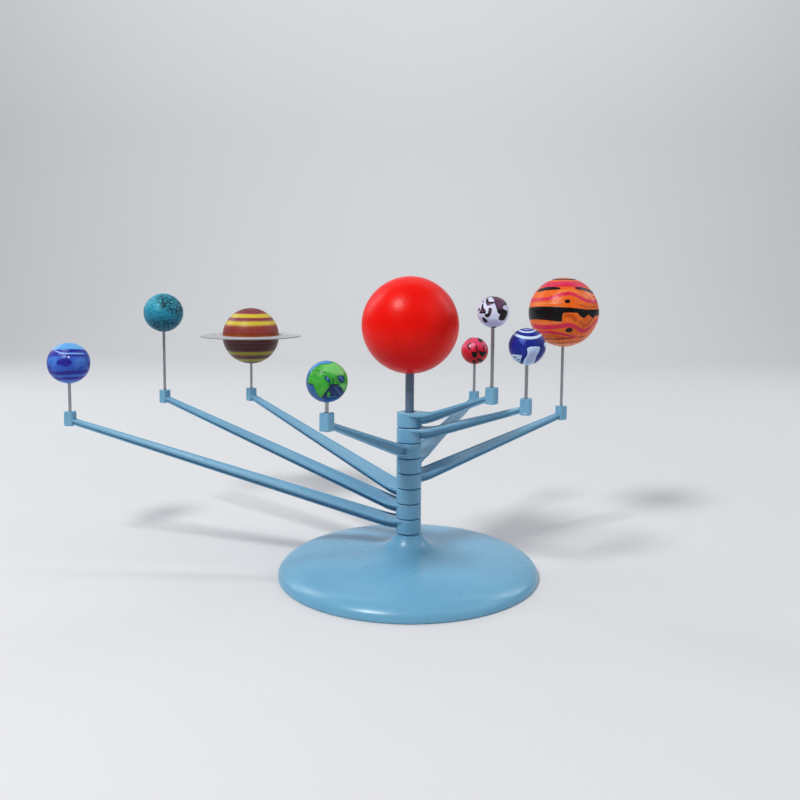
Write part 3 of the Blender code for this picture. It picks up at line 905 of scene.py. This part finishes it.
def paint_uranus(c):
    rough = union(
        c.patch([(300, 110), (420, 66), (560, 90), (690, 190), (748, 330), (724, 440), (620, 430), (520, 360), (400, 330), (310, 230)]),
        c.patch([(120, 560), (240, 540), (400, 560), (560, 560), (680, 580), (560, 720), (400, 770), (240, 700)]),
        c.patch([(420, 90), (560, 110), (690, 210), (740, 330), (620, 420), (400, 420), (250, 300)], yaw=170),
    )
    gleam = both(c, "patch", [(240, 230), (330, 170), (400, 210), (380, 290), (300, 350), (250, 320)])
    return {"rough": rough, "gleam": gleam}, []


def make_uranus():
    p = Paint("paint_uranus", 0.83, (1.0, 1.0, 4.5), 700.0, 0.3)
    p.colour = p.coat(srgb(28, 130, 160), 0.24, srgb(18, 102, 132))
    p.cover("gleam", srgb(104, 212, 232), 0.25, soft=2.0, wobble=1.2, share=0.8)
    # Painted light: the upper half is brushed a lighter teal, standing for the light falling from above.
    upper = p.span(p.height(), -0.006, 0.009, 0.0, 0.6)
    p.colour = p.mix(upper, p.colour, p.coat(srgb(54, 178, 206), 0.24))
    crack = p.math("MULTIPLY", p.span(p.attribute("seam"), 0.28, 0.80), p.span(p.attribute("rough"), -4.0, 2.0, 0.12, 0.85))
    crack = p.math("MULTIPLY", crack, p.span(p.patchy, 0.34, 0.52, 0.45, 1.0))
    p.colour = p.mix(crack, p.colour, srgb(2, 24, 36))
    dashes = p.noise(760.0, 3.0, 0.55, stretch=(1.0, 1.0, 2.4), offset=(0.2, 0.0, 0.1), twist=1.6)
    flecks = p.math("MULTIPLY", p.span(dashes, 0.53, 0.59), p.span(p.attribute("rough"), -4.0, 2.0, 0.10, 0.95))
    p.colour = p.mix(flecks, p.colour, srgb(2, 18, 28))
    p.bump(flecks, -0.00012, 0.8)
    return p.seal(0.28, 0.44, 0.00006, 0.00014)


def paint_sun(c):
    blot = union(c.oval((700, 240), (120, 160)), c.oval((200, 600), (200, 100)), c.oval((300, 300), (160, 120), yaw=150))
    return {"blot": blot}, []


def make_sun():
    p = Paint("paint_sun", 0.91, (1.0, 1.0, 1.6), 520.0, 0.4, sheen=0.15)
    p.colour = p.coat(srgb(234, 14, 2), 0.06, srgb(226, 9, 3))
    p.cover("blot", srgb(222, 14, 8), 0.05, soft=6.0, wobble=3.0, share=0.5)
    dots = p.span(p.noise(1350.0, 1.0, 0.4), 0.735, 0.80, 0.0, 0.6)
    p.colour = p.mix(dots, p.colour, srgb(224, 70, 54))
    return p.seal(0.30, 0.40, 0.00003, 0.00002)


SATURN_R = 17.90 * MM
# name, radius, rings round and down, bead size, groove depth, painter, material
BALLS = (
    ("mercury", 7.70, 144, 84, 1.7, 0.045, paint_mercury, make_mercury),
    ("venus", 9.20, 160, 92, 1.8, 0.045, paint_venus, make_venus),
    ("earth", 9.20, 160, 92, 1.8, 0.045, paint_earth, make_earth),
    ("mars", 8.35, 152, 88, 1.8, 0.055, paint_mars, make_mars),
    ("jupiter", 20.25, 256, 148, 2.3, 0.065, paint_jupiter, make_jupiter),
    ("saturn", 17.90, 232, 136, 2.2, 0.060, paint_saturn, make_saturn),
    ("uranus", 12.10, 288, 168, 2.9, 0.220, paint_uranus, make_uranus),
    ("neptune", 11.60, 184, 104, 2.0, 0.055, paint_neptune, make_neptune),
)


def balls():
    for index, (name, radius, across, down, bead, groove, painter, maker) in enumerate(BALLS):
        cracked = {"seam_width": 1.30, "flat": 1.6, "warp": 0.035} if name == "uranus" else {}
        ball(f"{name}_painted", f"ball_{name}", f"orbit_{name}", name, radius * MM, 0.90 * MM, 6.4 * MM,
             across, down, bead, groove, 100 + index, painter, maker, **cracked)
    ball("sun_painted", "sun", "stand", "sun", 25.1 * MM, 2.36 * MM, 11.9 * MM, 264, 152, 2.8, 0.025, 200, paint_sun, make_sun)


# --- base and post ----------------------------------------------------------
BASE_R = 67.8
COLUMN_Z = 21.64


def base():
    rim = [(BASE_R - 2.45, 0.15), (BASE_R - 2.2, 0.0), (BASE_R - 0.5, 0.0), (BASE_R - 0.15, 0.15), (BASE_R, 0.5)]
    dish = smooth_line(
        [(BASE_R, 0.5), (BASE_R, 1.7), (BASE_R - 0.5, 3.2), (BASE_R - 1.8, 4.8), (BASE_R - 4.0, 6.4), (BASE_R - 7.3, 7.9),
         (BASE_R - 12.0, 9.1), (BASE_R - 19.0, 10.2), (BASE_R - 28.0, 11.2), (BASE_R - 38.0, 12.0), (BASE_R - 46.0, 12.6),
         (18.0, 13.1), (14.6, 13.9), (12.0, 15.1), (10.0, 16.6), (8.6, 18.3), (7.7, 19.8), (7.42, 20.35)], 1.1)[1:]
    lip = [(7.40, 20.5), (7.34, 20.68), (7.2, 20.8), (6.95, 20.85), (6.05, 20.87), (5.92, 20.95), (5.88, 21.22), (5.72, 21.34), (4.2, 21.34), (3.2, 21.34), (2.9, 21.28), (2.7, 21.1)]
    bore = [(2.6, 20.9), (2.6, 12.0), (2.6, 1.5), (2.8, 1.2), (4.8, 1.2), (5.0, 1.4), (5.0, 9.4), (5.25, 10.1), (5.9, 10.6)]
    under = smooth_line(
        [(7.0, 11.0), (16.0, 11.0), (BASE_R - 38.0, 10.0), (BASE_R - 28.0, 9.2), (BASE_R - 19.6, 8.2), (BASE_R - 12.6, 7.1),
         (BASE_R - 8.2, 5.8), (BASE_R - 5.0, 3.7), (BASE_R - 3.0, 1.7), (BASE_R - 2.6, 0.6)], 2.6)
    verts, faces = turned(in_mm(rim + dish + lip + bore + under), 176, closed=True)
    mesh = mesh_of("base_moulded", verts, faces)
    outward(mesh)
    obj = new_object("base_moulded", mesh)

    # six ribs and a ring under the dish, as in a moulded foot
    for k in range(6):
        angle = math.radians(60 * k + 30)
        line = [(4.4, 2.0), (24.0, 2.6), (50.0, 1.6), (63.2, 1.0)]
        roof = [(4.4, 11.4), (7.0, 12.0), (16.0, 11.9), (BASE_R - 38.0, 10.9), (BASE_R - 19.6, 9.1), (BASE_R - 10.4, 7.4), (BASE_R - 5.2, 4.9), (BASE_R - 4.0, 3.2)]
        outline = [(x, z) for x, z in line] + [(x, z) for x, z in reversed(roof)]
        work = bmesh.new()
        near = [work.verts.new((x * MM, -0.65 * MM, z * MM)) for x, z in outline]
        far = [work.verts.new((x * MM, 0.65 * MM, z * MM)) for x, z in outline]
        work.faces.new(near)
        work.faces.new(list(reversed(far)))
        for i in range(len(near)):
            j = (i + 1) % len(near)
            work.faces.new((near[j], near[i], far[i], far[j]))
        bmesh.ops.recalc_face_normals(work, faces=work.faces)
        data = bpy.data.meshes.new("rib")
        work.to_mesh(data)
        work.free()
        data.transform(Matrix.Rotation(angle, 4, "Z"))
        combine(obj, new_object("rib", data), "UNION")
    obj.data.materials.clear()
    obj.data.materials.append(plastic("base_plastic_detail", srgb(107, 167, 200), 0.7, 0.30))
    finish_shading(obj, 34.0)
    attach(obj, "stand")
    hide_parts("base")
    return obj


def post():
    low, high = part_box("post")
    r = 2.3 * MM
    foot, top = low.z, high.z
    profile = ([(0.0, foot), (r - 0.35 * MM, foot)] + [(r - 0.15 * MM, foot + 0.08 * MM), (r, foot + 0.3 * MM)]
               + [(r, foot + (top - foot) * t) for t in np.linspace(0.03, 0.985, 24)]
               + [(r, top - 0.5 * MM), (r - 0.15 * MM, top - 0.2 * MM), (r - 0.5 * MM, top), (0.0, top)])
    verts, faces = turned(profile, 72)
    mesh = mesh_of("post_moulded", verts, faces)
    outward(mesh)
    obj = new_object("post_moulded", mesh)
    # The post's colour is a darker, greyer copy of the base plastic: painted shade for the sun ball's shadow that falls
    # on the post.
    mesh.materials.append(plastic("post_plastic_detail", srgb(92, 112, 134), 1.9, 0.28))
    finish_shading(obj)
    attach(obj, "stand")
    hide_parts("post")


# --- arms -------------------------------------------------------------------
PITCH = 8.0
HUB_R = 6.55
SOCKET_HEIGHT = 7.57
BEND = (6.0, 14.0)
ARMS = (  # name, top of the socket, share of the socket above the beam
    ("mercury", 101.6, 0.55), ("venus", 95.7, 0.55), ("earth", 95.1, 0.60), ("mars", 84.9, 0.55),
    ("jupiter", 80.0, 0.55), ("saturn", 82.3, 0.55), ("uranus", 82.3, 0.55), ("neptune", 77.5, 0.55),
)


def rise(x, end):
    """The arm's run of height: level over the hub, through a bend, then straight; 1 at the end."""
    middle = sum(BEND) / 2
    slope = 1.0 / (end - middle)
    if x <= BEND[0]:
        return 0.0
    if x >= BEND[1]:
        return (x - middle) * slope
    return 0.5 * slope * (x - BEND[0]) ** 2 / (BEND[1] - BEND[0])


def section(w, lw, top, foot):
    """Half of the beam's cross-section, from the middle of its top to the middle of its foot: a top plate with a
    raised lip along each edge and a low ridge between, a thin web, and a narrow foot."""
    room = top - foot - 2.4
    web = 0.90
    f = max(0.08, min(0.45, 0.30 * room))
    g = max(0.08, min(f, lw - 0.25 - web))
    half = [(0.22 * w, top - 0.16), (0.22 * w + 0.12, top - 0.20), (0.22 * w + 0.22, top - 0.36), (0.22 * w + 0.34, top - 0.40)]
    half += [(w - 0.92, top - 0.40), (w - 0.80, top - 0.35), (w - 0.68, top - 0.10), (w - 0.52, top), (w - 0.26, top), (w - 0.10, top - 0.05)]
    half += [(w, top - 0.22), (w, top - 1.20), (w - 0.08, top - 1.40), (w - 0.26, top - 1.48)]
    half += [(web + f, top - 1.5), (web + 0.3 * f, top - 1.5 - 0.3 * f), (web, top - 1.5 - f)]
    half += [(web, foot + 0.9 + g), (web + 0.3 * g, foot + 0.9 + 0.3 * g), (web + g, foot + 0.9)]
    half += [(lw - 0.18, foot + 0.88), (lw - 0.04, foot + 0.80), (lw, foot + 0.66), (lw, foot + 0.24), (lw - 0.07, foot + 0.08), (lw - 0.24, foot)]
    return half


def socket_mesh(reach, top):
    """The block that takes the rod: rounded upright corners, a rolled rim that dips between them, a countersunk mouth."""
    half, corner, n = 2.72, 1.15, 8
    outline = []
    for q in range(4):
        cx = (half - corner) * (1 if q in (0, 3) else -1)
        cy = (half - corner) * (1 if q in (0, 1) else -1)
        for i in range(n + 1):
            a = math.radians(90 * q + 90 * i / n)
            outline.append((cx + corner * math.cos(a), cy + corner * math.sin(a), 1.0))
        a = math.radians(90 * q + 90)
        x0, y0 = cx + corner * math.cos(a), cy + corner * math.sin(a)
        nq = (q + 1) % 4
        ncx = (half - corner) * (1 if nq in (0, 3) else -1)
        ncy = (half - corner) * (1 if nq in (0, 1) else -1)
        x1, y1 = ncx + corner * math.cos(a), ncy + corner * math.sin(a)
        for t, dip in ((0.06, 1.0), (0.14, 0.75), (0.22, 0.2), (0.32, 0.0), (0.5, 0.0), (0.68, 0.0), (0.78, 0.2), (0.86, 0.75), (0.94, 1.0)):
            outline.append((x0 + (x1 - x0) * t, y0 + (y1 - y0) * t, dip))
    foot, top = top - SOCKET_HEIGHT - 0.5, top + 0.2
    rings = []  # share of the outline, z, how far the rim dips and the faces sink between the corners
    for share, z, dip, sink in (
        (0.84, foot, 0, 0), (0.925, foot + 0.07, 0, 0), (0.98, foot + 0.25, 0, 0), (1.0, foot + 0.5, 0, 0), (1.0, foot + 0.9, 0, 0.1),
        (1.0, foot + 1.25, 0, 1), (0.996, foot + 3.2, 0, 1), (0.992, foot + 5.0, 0, 1), (0.985, top - 1.0, 0.3, 1), (0.98, top - 0.7, 0.8, 0.5),
        (0.972, top - 0.42, 1, 0.2), (0.93, top - 0.12, 1, 0), (0.85, top, 1, 0), (0.70, top - 0.05, 1, 0), (0.60, top - 0.12, 0.5, 0),
    ):
        rings.append([])
        for x, y, k in outline:
            pull = share * (1 - 0.105 * sink * (1 - k))
            rings[-1].append(((reach + x * pull) * MM, y * pull * MM, (z - 0.34 * dip * (1 - k)) * MM))
    verts = [v for ring in rings for v in ring]
    m = len(outline)
    faces = []
    for k in range(len(rings) - 1):
        for i in range(m):
            j = (i + 1) % m
            faces.append((k * m + i, k * m + j, (k + 1) * m + j, (k + 1) * m + i))
    faces.append(tuple(reversed(range(m))))
    verts.append((reach * MM, 0.0, (top - 0.16) * MM))
    last = (len(rings) - 1) * m
    for i in range(m):
        faces.append((last + i, last + (i + 1) % m, len(verts) - 1))
    mesh = mesh_of("socket", verts, faces)
    outward(mesh)
    return mesh


def arm(index, name, top, above, mat):
    rod_low, rod_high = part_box(f"rod_{name}")
    x, y = (rod_low.x + rod_high.x) / 2, (rod_low.y + rod_high.y) / 2
    reach, heading = math.hypot(x, y) / MM, math.atan2(y, x)
    low = COLUMN_Z + PITCH * (len(ARMS) - 1 - index)
    high = low + PITCH - 0.3
    rim = [(5.62, low), (5.78, low + 0.05), (5.88, low + 0.24)] + arc(HUB_R - 0.3, low + 0.54, 0.3, -90, 0, 5) + arc(HUB_R - 0.65, high - 0.65, 0.65, 0, 90, 7)
    verts, faces = turned(in_mm(rim), 104, caps=True)
    mesh = mesh_of(f"{name}_arm_moulded", verts, faces)
    outward(mesh)
    obj = new_object(f"{name}_arm_moulded", mesh)

    end = reach - 2.5
    foot_tip, top_tip = top - SOCKET_HEIGHT, top - above * SOCKET_HEIGHT
    stations = [0.0, 2.0, 4.0] + list(np.linspace(6.0, 14.0, 9)) + list(np.linspace(14.0, end, max(3, int((end - 14) / 9)))[1:]) + [end + 1.2]
    rings = []
    for sx in stations:
        t = min(rise(sx, end), 1.0)
        share = min(sx / end, 1.0)
        z_top = high - 0.06 + (top_tip - high + 0.06) * t
        z_foot = low + 2.1 + (foot_tip + 0.12 - low - 2.1) * t
        w = (HUB_R - 0.25) + (1.9 - HUB_R + 0.25) * share
        lw = 1.9 + (1.35 - 1.9) * share
        half = section(w, lw, z_top, z_foot)
        rings.append([(sx * MM, py * MM, pz * MM) for py, pz in half] + [(sx * MM, -py * MM, pz * MM) for py, pz in reversed(half)])
    m = len(rings[0])
    verts = [v for ring in rings for v in ring]
    faces = [(k * m + i, k * m + (i + 1) % m, (k + 1) * m + (i + 1) % m, (k + 1) * m + i) for k in range(len(rings) - 1) for i in range(m)]
    faces += [tuple(range(m)), tuple(reversed(range((len(rings) - 1) * m, len(rings) * m)))]
    beam = mesh_of("beam", verts, faces)
    outward(beam)
    combine(obj, new_object("beam", beam), "UNION")
    combine(obj, new_object("socket", socket_mesh(reach, top)), "UNION")

    tool = [(2.4, low - 1), (2.4, high - 0.45), (2.55, high - 0.35), (3.35, high - 0.30), (3.5, high + 1)]
    verts, faces = turned(in_mm(tool), 60, caps=True, start=0.021)
    cut = mesh_of("cut", verts, faces)
    outward(cut)
    combine(obj, new_object("cut", cut), "DIFFERENCE")
    tool = [(0.95, top - 5.0), (0.95, top - 0.35), (1.32, top), (1.6, top + 1.0)]
    verts, faces = turned(in_mm(tool), 32, caps=True, start=0.05)
    cut = mesh_of("cut", verts, faces)
    outward(cut)
    combine(obj, new_object("cut", cut, (reach * MM, 0.0, 0.0)), "DIFFERENCE")
    obj.data.materials.clear()
    obj.data.materials.append(mat)
    finish_shading(obj, 30.0)
    obj.matrix_world = Matrix.Rotation(heading, 4, "Z")
    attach(obj, f"orbit_{name}")
    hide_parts(f"arm_{name}")
    return obj


def rod(name, mat):
    low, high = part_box(f"rod_{name}")
    r = 0.85 * MM
    c = 0.22 * MM
    length = high.z - low.z
    profile = ([(0.0, 0.0), (r - c, 0.0), (r - 0.08 * MM, 0.10 * MM), (r, c)] + [(r, length * t) for t in np.linspace(0.04, 0.96, 16)]
               + [(r, length - c), (r - 0.08 * MM, length - 0.10 * MM), (r - c, length), (0.0, length)])
    verts, faces = turned(profile, 36)
    mesh = mesh_of(f"{name}_rod_steel", verts, faces)
    outward(mesh)
    mesh.materials.append(mat)
    obj = new_object(f"{name}_rod_steel", mesh, ((low.x + high.x) / 2, (low.y + high.y) / 2, low.z))
    finish_shading(obj)
    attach(obj, f"orbit_{name}")
    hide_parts(f"rod_{name}")


def ring():
    low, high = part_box("ring_saturn")
    centre = Vector(((low.x + high.x) / 2, (low.y + high.y) / 2, (low.z + high.z) / 2))
    inner, outer, half = 17.55, 31.9, 0.40
    face = []
    for r, z in ((inner, half), (19.4, half), (19.55, half - 0.13), (19.95, half - 0.13), (20.1, half), (23.6, half), (23.75, half - 0.16),
                 (24.5, half - 0.16), (24.65, half), (28.2, half), (28.32, half - 0.10), (28.62, half - 0.10), (28.74, half), (30.9, half)):
        face.append((r, z))
    edge = arc(outer - 0.3, half - 0.3, 0.3, 90, 0, 4) + arc(outer - 0.3, -half + 0.3, 0.3, 0, -90, 4)
    profile = face + edge + [(r, -z) for r, z in reversed(face)]
    verts, faces = turned(in_mm(profile), 176, closed=True)
    mesh = mesh_of("saturn_ring_sheet", verts, faces)
    outward(mesh)
    mesh.materials.append(card("ring_card"))
    obj = new_object("saturn_ring_sheet", mesh, centre)
    finish_shading(obj, 28.0)
    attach(obj, "orbit_saturn")
    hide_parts("ring_saturn")


# --- the studio -------------------------------------------------------------
def light(name, at, toward, width, height, power, colour=(1.0, 1.0, 1.0)):
    data = bpy.data.lights.new(name, "AREA")
    data.shape = "RECTANGLE"
    data.size, data.size_y = width, height
    data.energy = power
    data.color = colour
    obj = bpy.data.objects.new(name, data)
    SCENE.collection.objects.link(obj)
    direction = Vector(toward) - Vector(at)
    obj.matrix_world = Matrix.Translation(Vector(at)) @ direction.to_track_quat("-Z", "Y").to_matrix().to_4x4()
    return obj


def studio():
    """A pale floor that curves up behind, soft boxes at the upper left and right, and weak edge lights."""
    reach, back, radius, steps = 9.0, 1.1, 0.5, 16
    line = [(-9.0, 0.0), (back, 0.0)] + [(back + radius * math.sin(a), radius - radius * math.cos(a))
                                        for a in np.linspace(0, math.pi / 2, steps)[1:]] + [(back + radius, 6.0)]
    verts = [(sx * reach, y, z - 0.0001) for y, z in line for sx in (-1, 1)]
    faces = [(2 * i, 2 * i + 1, 2 * i + 3, 2 * i + 2) for i in range(len(line) - 1)]
    floor = new_object("floor", mesh_of("floor", verts, faces))
    s = Shader("floor_paper", Specular_IOR_Level=0.3)
    grain = s.noise(900.0, 3.0, 0.55)
    s.bump(grain, 0.00003, 0.4)
    floor.data.materials.append(s.done(s.mix(grain, srgb(212, 213, 215), srgb(219, 220, 222)), 0.62))

    world = bpy.data.worlds.new("world")
    SCENE.world = world
    world.use_nodes = True
    world.node_tree.nodes["Background"].inputs[0].default_value = (0.88, 0.91, 0.96, 1.0)
    world.node_tree.nodes["Background"].inputs[1].default_value = 0.24
    middle = (0.0, 0.0, 0.09)
    light("key", (-0.46, -0.52, 0.95), middle, 0.22, 0.22, 9.2, (1.0, 0.985, 0.96))
    light("fill", (0.72, -0.30, 0.62), middle, 0.9, 0.9, 2.0, (0.95, 0.97, 1.0))
    light("edge_left", (-0.85, 0.52, 0.66), middle, 0.25, 0.6, 2.6, (0.93, 0.97, 1.0))
    light("edge_right", (0.9, 0.48, 0.70), middle, 0.25, 0.6, 2.0, (0.93, 0.97, 1.0))
    light("backdrop", (0.0, 0.75, 1.25), (0.0, 1.65, 0.25), 2.6, 0.5, 11.5, (0.98, 0.99, 1.0))
    SCENE.view_settings.view_transform = "Standard"
    SCENE.view_settings.look = "None"
    SCENE.view_settings.exposure = 0.0
    SCENE.view_settings.gamma = 1.0


base()
post()
for number, (planet, socket_top, above) in enumerate(ARMS):
    arm(number, planet, socket_top, above, plastic(f"arm_{planet}_plastic_detail", srgb(112, 167, 199), 2.3 + number, 0.30))
    rod(planet, steel(f"rod_{planet}_steel_detail", 0.7 + number))
balls()
ring()
studio()
